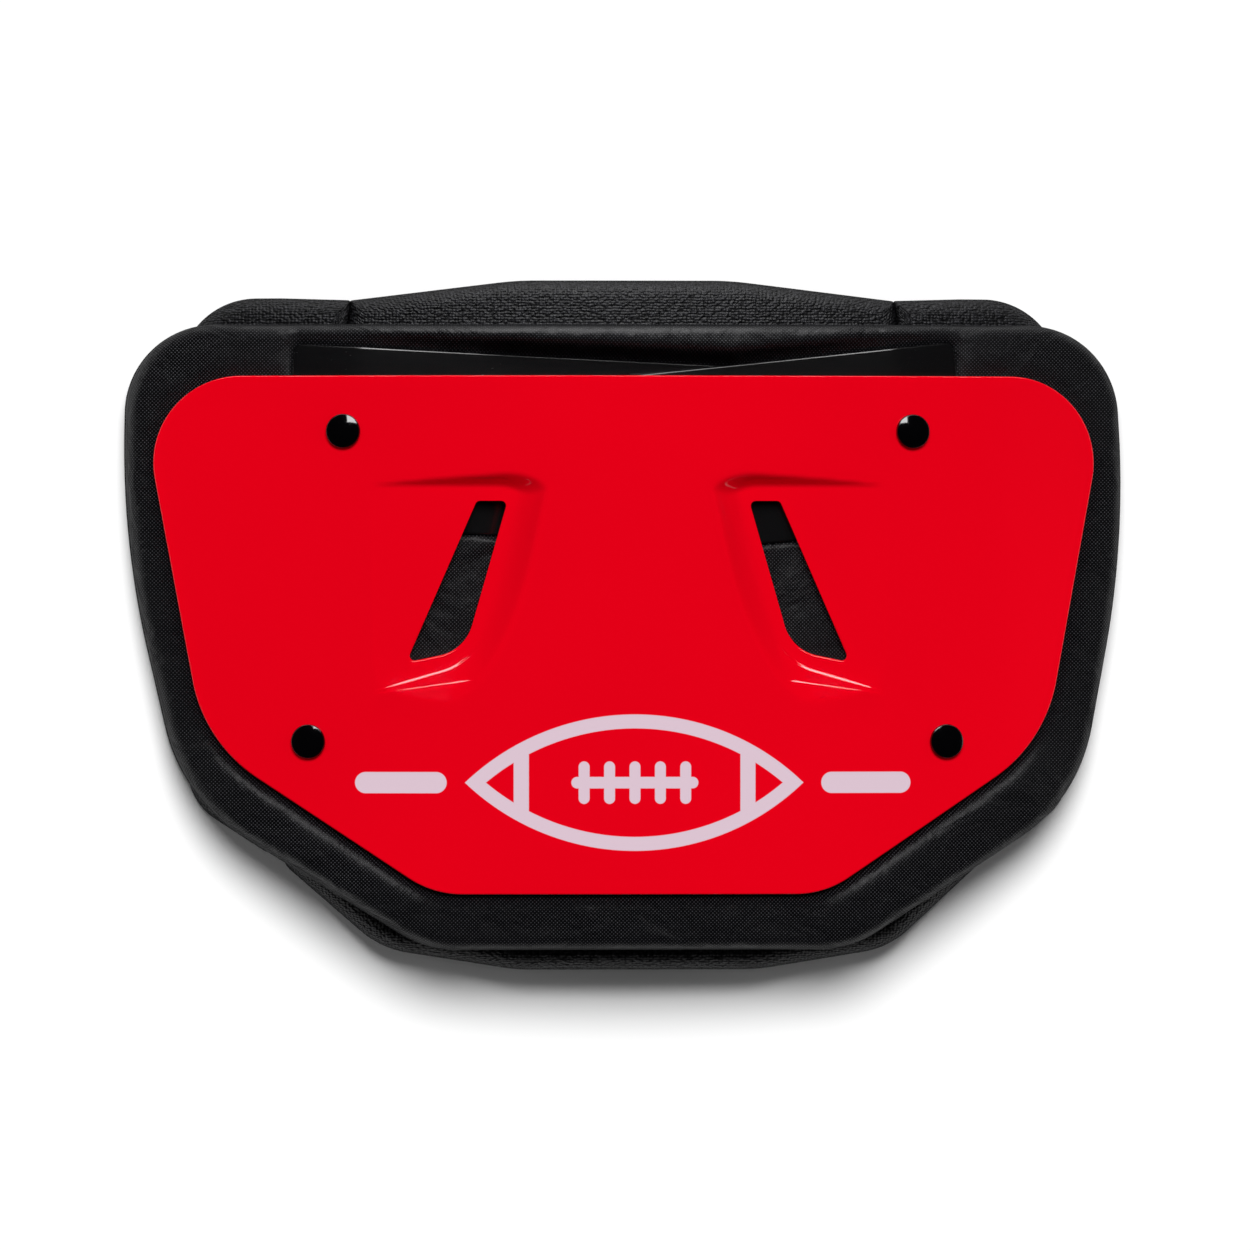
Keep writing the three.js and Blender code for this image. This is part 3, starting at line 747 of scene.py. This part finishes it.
def strapHeight(points, dips):
    # against the shell: down with the scoop's floor, level under its deep part
    form, scoop = strapForm, scoopForm
    face = shellFace - shellForm["thickness"] - touchGap
    out = scoop["outerX"] + form["runOut"]
    x = points[:, 0]
    share = np.clip((out - np.abs(x)) / (out - scoop["innerTopX"]), 0, 1)
    outer = face - sag(out)
    inner = face - sag(scoop["innerTopX"]) - scoop["depth"]
    height = outer + (inner - outer) * share
    height = np.where(share <= 0, face - sag(x), height)
    height = np.where(share >= 1, face - sag(x) - scoop["depth"], height)
    if dips:
        # the left strap drops under the end of the right one
        swing = form["width"] / 2 * math.sin(math.radians(form["right"]["turn"]))
        end = topRivet[0] + form["endMargin"] - form["length"] - swing - form["rampGap"]
        fall = form["thickness"] + 2 * touchGap
        height = height - fall * np.clip((x - end + form["ramp"]) / form["ramp"], 0, 1)
    return height


def strapOutline(strap):
    form = strapForm
    across, up, r = form["length"] / 2, form["width"] / 2, form["corner"]
    centre = Vector((strap["side"] * (form["endMargin"] - form["length"] / 2), -form["drop"]))
    pivot = Vector((strap["side"] * topRivet[0], topRivet[1]))
    turn = Matrix.Rotation(math.radians(strap["turn"]), 2)
    corners = []
    for x, y in ((across, -up), (across, up), (-across, up), (-across, -up)):
        corners.append((*(turn @ (Vector((x, y)) + centre) + pivot), r))
    return makeOutline(corners, form["step"], roundedEdge(form["edge"], form["edge"], form["thickness"], 3))


for side in ("left", "right"):
    strap = strapForm[side]
    piece = buildSlab(
        "strap_plate_" + side, [strapOutline(strap)],
        lambda points: strapHeight(points, strap["dips"]),
        lambda points: strapHeight(points, strap["dips"]) - strapForm["thickness"],
        [(strapForm["grid"], None)])
    finishPiece(piece, strapPlastic, "strap_plastic", "strap_" + side)
print("straps made")

# Rivets: one turned head with its shank and flange, placed by a node tree

rivetForm = dict(headDiameter=11.4 * mm, headHeight=3.4 * mm, shankDiameter=5 * mm, flangeDiameter=11 * mm,
                 flangeThickness=1.2 * mm, sides=64, domeSteps=14, domeRise=1.7 * mm, rimRound=0.3 * mm)


def rivetProfile(grip):
    # a shallow dome on a short upright rim
    form = rivetForm
    radius = form["headDiameter"] / 2
    domeRadius = (radius ** 2 + form["domeRise"] ** 2) / (2 * form["domeRise"])
    domeBase = form["headHeight"] - domeRadius
    edge = radius - form["rimRound"]
    profile = [
        (0.0, -grip - form["flangeThickness"]),
        (form["flangeDiameter"] / 2, -grip - form["flangeThickness"]),
        (form["flangeDiameter"] / 2, -grip),
        (form["shankDiameter"] / 2, -grip),
        (form["shankDiameter"] / 2, touchGap),
        (edge, touchGap),
        (radius, touchGap + form["rimRound"]),
        (radius, form["headHeight"] - form["domeRise"] - form["rimRound"]),
    ]
    for k in range(form["domeSteps"]):
        r = edge * math.cos(math.pi / 2 * k / form["domeSteps"])
        profile.append((r, domeBase + math.sqrt(domeRadius ** 2 - r ** 2)))
    return profile + [(0.0, domeBase + domeRadius)]


def turnedMesh(name, profile, sides):
    body = bmesh.new()
    rings = []
    for r, z in profile:
        around = 1 if r == 0 else sides
        angles = [2 * math.pi * k / sides for k in range(around)]
        rings.append([body.verts.new((r * math.cos(angle), r * math.sin(angle), z)) for angle in angles])
    for low, high in zip(rings, rings[1:]):
        for k in range(sides):
            n = (k + 1) % sides
            if len(low) == 1:
                body.faces.new((low[0], high[n], high[k]))
            elif len(high) == 1:
                body.faces.new((low[k], low[n], high[0]))
            else:
                body.faces.new((low[k], low[n], high[n], high[k]))
    bmesh.ops.recalc_face_normals(body, faces=body.faces)
    mesh = bpy.data.meshes.new(name)
    body.to_mesh(mesh)
    body.free()
    mesh.shade_smooth()
    return mesh


def placeRivet(name, x, y, grip):
    turned = turnedMesh(name, rivetProfile(grip), rivetForm["sides"])
    source = bpy.data.objects.new(name + "_turned", turned)
    bpy.context.collection.objects.link(source)
    seatMesh = bpy.data.meshes.new(name + "_seat")
    seatMesh.from_pydata([(x, y, shellFace - float(sag(x)))], [], [])
    holder = bpy.data.objects.new(name, seatMesh)
    bpy.context.collection.objects.link(holder)
    tree = bpy.data.node_groups.new("rivets", "GeometryNodeTree")
    interface = tree.interface
    interface.new_socket("Geometry", in_out="INPUT", socket_type="NodeSocketGeometry")
    tiltSocket = interface.new_socket("Tilt", in_out="INPUT", socket_type="NodeSocketFloat")
    interface.new_socket("Geometry", in_out="OUTPUT", socket_type="NodeSocketGeometry")
    given = addNode(tree, "NodeGroupInput")
    info = addNode(tree, "GeometryNodeObjectInfo", {"Object": source})
    turn = addNode(tree, "ShaderNodeCombineXYZ", {1: given.outputs["Tilt"]})
    points = addNode(tree, "GeometryNodeInstanceOnPoints", {
        "Points": given.outputs["Geometry"], "Instance": info.outputs["Geometry"],
        "Rotation": turn.outputs[0]})
    real = addNode(tree, "GeometryNodeRealizeInstances", {0: points.outputs[0]})
    painted = addNode(tree, "GeometryNodeSetMaterial", {
        "Geometry": real.outputs[0], "Material": rivetPlastic})
    addNode(tree, "NodeGroupOutput", {0: painted.outputs[0]})
    modifier = holder.modifiers.new("rivets", "NODES")
    modifier.node_group = tree
    modifier[tiltSocket.identifier] = math.asin(x / bendRadius)
    settled = bpy.data.meshes.new_from_object(holder.evaluated_get(bpy.context.evaluated_depsgraph_get()))
    holder.modifiers.clear()
    holder.data = settled
    settled.shade_smooth()
    bpy.data.objects.remove(source)
    return holder


plainGrip = shellForm["thickness"] + touchGap
strapGrip = plainGrip + strapForm["thickness"] + touchGap
for side, sign in (("left", -1), ("right", 1)):
    for level, (x, y), grip in (("top", topRivet, strapGrip), ("bottom", bottomRivet, plainGrip)):
        rivet = placeRivet(f"rivet_head_{level}_{side}", sign * x, y, grip)
        finishPiece(rivet, rivetPlastic, "rivet_plastic", f"rivet_{level}_{side}")
print("rivets made")

# Padded covers, puffed up as cloth

coverForm = dict(voxel=5 * mm, pressure=4.0, frames=20, quality=5, mass=0.3, stiffness=12.0, bending=0.3,
                 most=1.3 * mm, neighbours=6)


def coarseCopy(piece):
    copy = piece.copy()
    bpy.context.collection.objects.link(copy)
    remesh = copy.modifiers.new("remesh", "REMESH")
    remesh.mode = "VOXEL"
    remesh.voxel_size = coverForm["voxel"]
    settled = bpy.data.meshes.new_from_object(copy.evaluated_get(bpy.context.evaluated_depsgraph_get()))
    copy.modifiers.clear()
    copy.data = settled
    return copy


def puffUp(piece, freedom):
    # the coarse copy swells as cloth, and the fine cover follows it where it is free
    form = coverForm
    coarse = coarseCopy(piece)
    start = readPlaces(coarse.data)
    pinned = coarse.vertex_groups.new(name="pinned")
    for i, free in enumerate(freedom(start)):
        pinned.add([i], float(1 - free), "REPLACE")
    cloth = coarse.modifiers.new("cloth", "CLOTH")
    settings = cloth.settings
    settings.quality = form["quality"]
    settings.mass = form["mass"]
    settings.tension_stiffness = settings.compression_stiffness = form["stiffness"]
    settings.bending_stiffness = form["bending"]
    settings.use_pressure = True
    settings.uniform_pressure_force = form["pressure"]
    settings.vertex_group_mass = "pinned"
    settings.effector_weights.gravity = 0.0
    cloth.point_cache.frame_start, cloth.point_cache.frame_end = 1, form["frames"]
    for frameNumber in range(1, form["frames"] + 1):
        bpy.context.scene.frame_set(frameNumber)
    swollen = coarse.evaluated_get(bpy.context.evaluated_depsgraph_get())
    moved = readPlaces(swollen.data) - start
    length = np.linalg.norm(moved, axis=1)
    print(f"{piece.name} swelled {length.mean() / mm:.2f} mm, {length.max() / mm:.2f} mm at most")
    moved *= np.minimum(1, form["most"] / np.maximum(length, 1e-9))[:, None]
    tree = placeTree(start)
    places = readPlaces(piece.data)
    free = freedom(places)
    for i in np.flatnonzero(free > 0):
        near = tree.find_n(places[i], form["neighbours"])
        weights = np.array([1 / (distance + mm) for _, _, distance in near])
        shift = (moved[[k for _, k, _ in near]] * weights[:, None]).sum(0) / weights.sum()
        places[i] += shift * free[i]
    places[:, 2] = np.maximum(places[:, 2], 0)
    writePlaces(piece.data, places)
    bpy.data.objects.remove(coarse)
    bpy.context.scene.frame_set(1)


# Front pad

padForm = dict(
    thickness=14 * mm, step=1.6 * mm, grid=2.2 * mm, fineGrid=0.9 * mm, fineReach=4 * mm,
    fineUnderShell=3 * mm,
    pocketMargin=0.4 * mm, softness=1 * mm, edgeDip=0.7 * mm, leastDip=0.02 * mm, pocketsAbove=15 * mm,
    shoulder=(0.99, 1.0, 0.18), waist=(1.008, 0.655, 1.806), hip=(0.9, 0.24, 0.343),
    foot=(0.423, 0.0, 0.209), halfWidth=165.6 * mm,
    rollRise=1.0 * mm, rollWidth=5.5 * mm, rollFade=5.5 * mm,
    hipRise=3.4 * mm, hipWay=math.radians(-127), hipSpread=math.radians(30),
    heldBeside=1 * mm, heldAbove=2.5 * mm, freeingRun=4 * mm, freeingRise=3 * mm,
)
padSections = [
    (3.2, 0.0), (2.3, 0.02), (1.5, 0.055), (0.8, 0.12), (0.3, 0.22), (0.05, 0.36), (0.0, 0.5), (0.0, 0.66),
    (0.2, 0.77), (0.7, 0.85), (0.6, 0.88), (0.0, 0.89), (-0.3, 0.915), (-0.3, 0.945), (0.0, 0.97),
    (0.8, 0.985), (1.6, 1.0),
]


def padTopHeight(points):
    form = padForm
    height = seat - sag(points[:, 0])
    room = scoopDepth(points) + touchGap
    depth = np.where(room > touchGap + form["leastDip"], room, 0)
    clear = np.full(len(points), 1.0)
    for strap in (strapForm["left"], strapForm["right"]):
        # a close pocket under the strap, and a soft dip beside it that leaves the strap's edge in sight
        reach = outlineDistance(points, strapOutline(strap)) - form["pocketMargin"]
        top = strapHeight(points, strap["dips"])
        pocket = np.maximum(height - top + strapForm["thickness"] + touchGap, 0)
        beside = np.maximum(height - top + form["edgeDip"], 0)
        depth = np.maximum(depth, pocket * (1 - smooth(reach / form["softness"])))
        depth = np.maximum(depth, beside * (1 - smooth(reach / form["rollFade"])))
        clear = np.minimum(clear, reach)
    beyond, way = outlineReach(points, shellOutline)
    left = np.abs(way - form["hipWay"])
    right = np.abs(way - (-math.pi - form["hipWay"]))
    hip = form["hipRise"] * smooth(1 - np.minimum(left, right) / form["hipSpread"])
    rise = (form["rollRise"] + hip) * smooth(beyond / form["rollWidth"])
    return height - depth + rise * smooth(clear / form["rollFade"])


def nearPocket(points):
    # along the straps' edges wherever the shell leaves them in sight
    form = padForm
    near = points[:, 1] > form["pocketsAbove"]
    high = points[near]
    straps = [strapOutline(strapForm[side]) for side in ("left", "right")]
    fromStrap = np.min([np.abs(outlineDistance(high, outline)) for outline in straps], axis=0)
    near[near] = fromStrap < form["fineReach"]
    high = points[near]
    fromVent = np.min([outlineDistance(high, ventOutline(side)) for side in (-1, 1)], axis=0)
    fromShell = -outlineDistance(high, shellOutline)
    near[near] = np.minimum(fromVent, fromShell) < form["fineUnderShell"]
    return near


def padUnderHeight(points):
    return seat - padForm["thickness"] - sag(points[:, 0])


padShares = [padForm["foot"], padForm["hip"], padForm["waist"], padForm["shoulder"]]
padCorners = mirrored(placeShares(padShares, padForm["halfWidth"], padHigh.y, padLow.y))
padOutline = askew(makeOutline(padCorners, padForm["step"], inMillimetres(padSections)))
pad = buildSlab("front_pad_cover", [padOutline], padTopHeight, padUnderHeight, [
    (padForm["grid"], None), (padForm["fineGrid"], nearPocket)])


def padFreedom(places):
    # held where the shell, the straps and the cushions press on it
    form = padForm
    flat = places[:, :2]
    held, run = form["heldBeside"], form["freeingRun"]
    free = smooth((outlineDistance(flat, shellOutline) - held / 2) / run)
    for strap in (strapForm["left"], strapForm["right"]):
        free = free * smooth((outlineDistance(flat, strapOutline(strap)) - held) / run)
    for side in (-1, 1):
        inVent = -outlineDistance(flat, ventOutline(side))
        free = np.maximum(free, smooth((inVent - held) / run))
    above = places[:, 2] - padUnderHeight(flat)
    return free * smooth((above - form["heldAbove"]) / form["freeingRise"])


puffUp(pad, padFreedom)
finishPiece(pad, wovenCover, "woven_cover", "front_pad")
print("front pad made")

# Cushions against the back

cushionForm = dict(
    thickness=13 * mm, step=1.6 * mm, grid=2.6 * mm, topSpread=180.6 * mm, bottomSpread=232 * mm,
    footRise=35 * mm, gap=-0.25 * mm, crown=6.6 * mm, shoulderRound=0.8 * mm, hipRound=5 * mm,
    outerShoulderRound=26 * mm, peakX=113 * mm, peakRound=60 * mm, valley=0.7 * mm,
    outerHipRound=20 * mm, sideTopReach=9.1 * mm, sideInset=18.5 * mm,
    hipRise=55.7 * mm, crownShare=(0.305, 0.9), footShare=(0.73, 0.26), bottomShare=(0.345, 0.52),
    held=1 * mm, freeingRun=3 * mm, seamRun=4 * mm,
)
cushionSections = [
    (5.0, 0.0), (3.6, 0.03), (2.4, 0.09), (1.3, 0.18), (0.5, 0.30), (0.1, 0.43), (0.0, 0.55),
    (0.3, 0.68), (1.0, 0.79), (2.1, 0.88), (3.6, 0.95), (5.2, 1.0),
]


def centreCushionCorners():
    form = cushionForm
    half = form["bottomSpread"] / 2
    top, bottom = cushionHigh.y, cushionLow.y
    right = [
        (form["bottomShare"][0] * half, bottom, form["bottomShare"][1] * half),
        (form["footShare"][0] * half, padLow.y, form["footShare"][1] * half),
        ((form["bottomSpread"] - form["gap"]) / 2, bottom + form["footRise"], form["hipRound"]),
        ((form["topSpread"] - form["gap"]) / 2, top - form["crown"], form["shoulderRound"]),
        (form["crownShare"][0] * half, top, form["crownShare"][1] * half),
    ]
    return mirrored(right)


def sideCushionCorners(side):
    form = cushionForm
    top = padHigh.y + form["sideTopReach"]
    outer = padForm["halfWidth"] - form["sideInset"]
    bottom = cushionLow.y
    corners = [
        ((form["bottomSpread"] + form["gap"]) / 2, bottom + form["footRise"], form["hipRound"]),
        (outer, bottom + form["hipRise"], form["outerHipRound"]),
        (outer, top, form["outerShoulderRound"]),
        (form["peakX"], top, form["peakRound"]),
        ((form["topSpread"] + form["gap"]) / 2, top - form["valley"], form["shoulderRound"]),
    ]
    return corners if side > 0 else flipped(corners)


def cushionTopHeight(points):
    return cushionHigh.z - sag(points[:, 0])


def cushionUnderHeight(points):
    return np.maximum(cushionHigh.z - cushionForm["thickness"] - sag(points[:, 0]), 0)


def cushionFreedom(places):
    # held under the pad, on the floor and along the seams between the cushions
    form = cushionForm
    above = places[:, 2] - cushionUnderHeight(places[:, :2])
    beyond = outlineDistance(places[:, :2], padOutline)
    held, run = form["held"], form["freeingRun"]
    free = smooth((beyond - held) / run) * smooth((above - held) / run)
    seamFoot = cushionLow.y + form["footRise"]
    up = np.clip((places[:, 1] - seamFoot) / (cushionHigh.y - seamFoot), 0, 1)
    seam = (form["bottomSpread"] + (form["topSpread"] - form["bottomSpread"]) * up) / 2
    off = np.abs(np.abs(places[:, 0] - padShift + padLean * places[:, 1]) - seam)
    return free * smooth((off - held) / form["seamRun"])


for name, node, corners in (
    ("centre_cushion_cover", "back_cushion_centre", centreCushionCorners()),
    ("left_cushion_cover", "back_cushion_left", sideCushionCorners(-1)),
    ("right_cushion_cover", "back_cushion_right", sideCushionCorners(1)),
):
    outline = askew(makeOutline(corners, cushionForm["step"], inMillimetres(cushionSections)))
    cushion = buildSlab(
        name, [outline], cushionTopHeight, cushionUnderHeight, [(cushionForm["grid"], None)])
    puffUp(cushion, cushionFreedom)
    finishPiece(cushion, meshCover, "mesh_cover", node)
print("cushions made")

# Studio

studio = dict(
    cameraAway=5.0, frameWidth=412.3 * mm, sensor=36.0, lean=4.0, aimX=-1.7 * mm, floorSize=40.0,
    sunPower=3.25, sunPlace=(0.0, 0.48, 1.0), sunAngle=math.radians(28),
    rimPower=0.88, rimSize=(0.188, 0.21), rimPlace=(0.0, 0.24, 0.14),
    stripPower=11, stripSize=(1.8, 0.165), stripPlace=(0.0, 0.987, 0.506),
    sideNames=("left_fill", "right_fill"), sidePower=0.8, sidePlace=(1.0, 0.0, 0.8), sideSize=(0.5, 0.5),
    ambient=0.08,
)

floorMesh = bpy.data.meshes.new("floor")
half = studio["floorSize"] / 2
floorCorners = [(-half, -half, 0), (half, -half, 0), (half, half, 0), (-half, half, 0)]
floorMesh.from_pydata(floorCorners, [], [(0, 1, 2, 3)])
floor = bpy.data.objects.new("floor", floorMesh)
bpy.context.collection.objects.link(floor)
floorMaterial, floorTree, floorShader = newMaterial("white_paper_sweep")
setShader(floorTree, floorShader, {}, {
    "Base Color": colour("FFFFFF"), "Roughness": 0.9, "Specular IOR Level": 0.0})
floorMesh.materials.append(floorMaterial)


def aimed(thing, place, target):
    thing.location = place
    thing.rotation_euler = (Vector(target) - Vector(place)).to_track_quat("-Z", "Y").to_euler()
    bpy.context.collection.objects.link(thing)


def softbox(name, place, size, power):
    light = bpy.data.lights.new(name, "AREA")
    light.shape = "RECTANGLE"
    light.size, light.size_y = size
    light.energy = power
    lamp = bpy.data.objects.new(name, light)
    aimed(lamp, place, (0, 0, shellFace / 2))
    return lamp


sun = bpy.data.lights.new("overhead_bank", "SUN")
sun.energy = studio["sunPower"]
sun.angle = studio["sunAngle"]
overhead = bpy.data.objects.new("overhead_bank", sun)
overhead.visible_glossy = False
aimed(overhead, studio["sunPlace"], (0, 0, 0))


def lightsOnly(lamp, things):
    lamp.visible_diffuse = False
    receivers = bpy.data.collections.new(lamp.name + "_receivers")
    for thing in things:
        receivers.objects.link(thing)
    lamp.light_linking.receiver_collection = receivers


# two lamps for reflections alone: a near softbox for the fabric, straps and rivets,
# and a far thin strip for the shell, which draws the creases at the foot of each scoop
meshes = [thing for thing in bpy.context.collection.objects if thing.type == "MESH"]
blackPieces = [thing for thing in meshes if thing not in (shell, floor)]
rim = softbox("rim_softbox", studio["rimPlace"], studio["rimSize"], studio["rimPower"])
strip = softbox("strip_softbox", studio["stripPlace"], studio["stripSize"], studio["stripPower"])
lightsOnly(rim, blackPieces)
lightsOnly(strip, [shell])
for name, sign in zip(studio["sideNames"], (-1, 1)):
    x, y, z = studio["sidePlace"]
    fill = softbox(name, (sign * x, y, z), studio["sideSize"], studio["sidePower"])
    fill.visible_glossy = False

world = bpy.data.worlds.new("studio")
bpy.context.scene.world = world
world.use_nodes = True
world.node_tree.nodes["Background"].inputs["Color"].default_value = (1, 1, 1, 1)
world.node_tree.nodes["Background"].inputs["Strength"].default_value = studio["ambient"]
world.cycles_visibility.glossy = False

lens = bpy.data.cameras.new("camera")
lens.sensor_width = studio["sensor"]
lens.lens = studio["sensor"] * studio["cameraAway"] / studio["frameWidth"]
lens.clip_end = 20
camera = bpy.data.objects.new("camera", lens)
leanAngle = math.radians(studio["lean"])
camera.location = (studio["aimX"] - math.sin(leanAngle) * studio["cameraAway"], 0,
                   shellFace + math.cos(leanAngle) * studio["cameraAway"])
camera.rotation_euler = (0, -leanAngle, 0)
bpy.context.collection.objects.link(camera)
bpy.context.scene.camera = camera
bpy.context.scene.view_settings.view_transform = "Standard"
bpy.context.scene.view_settings.look = "None"
print("studio set")
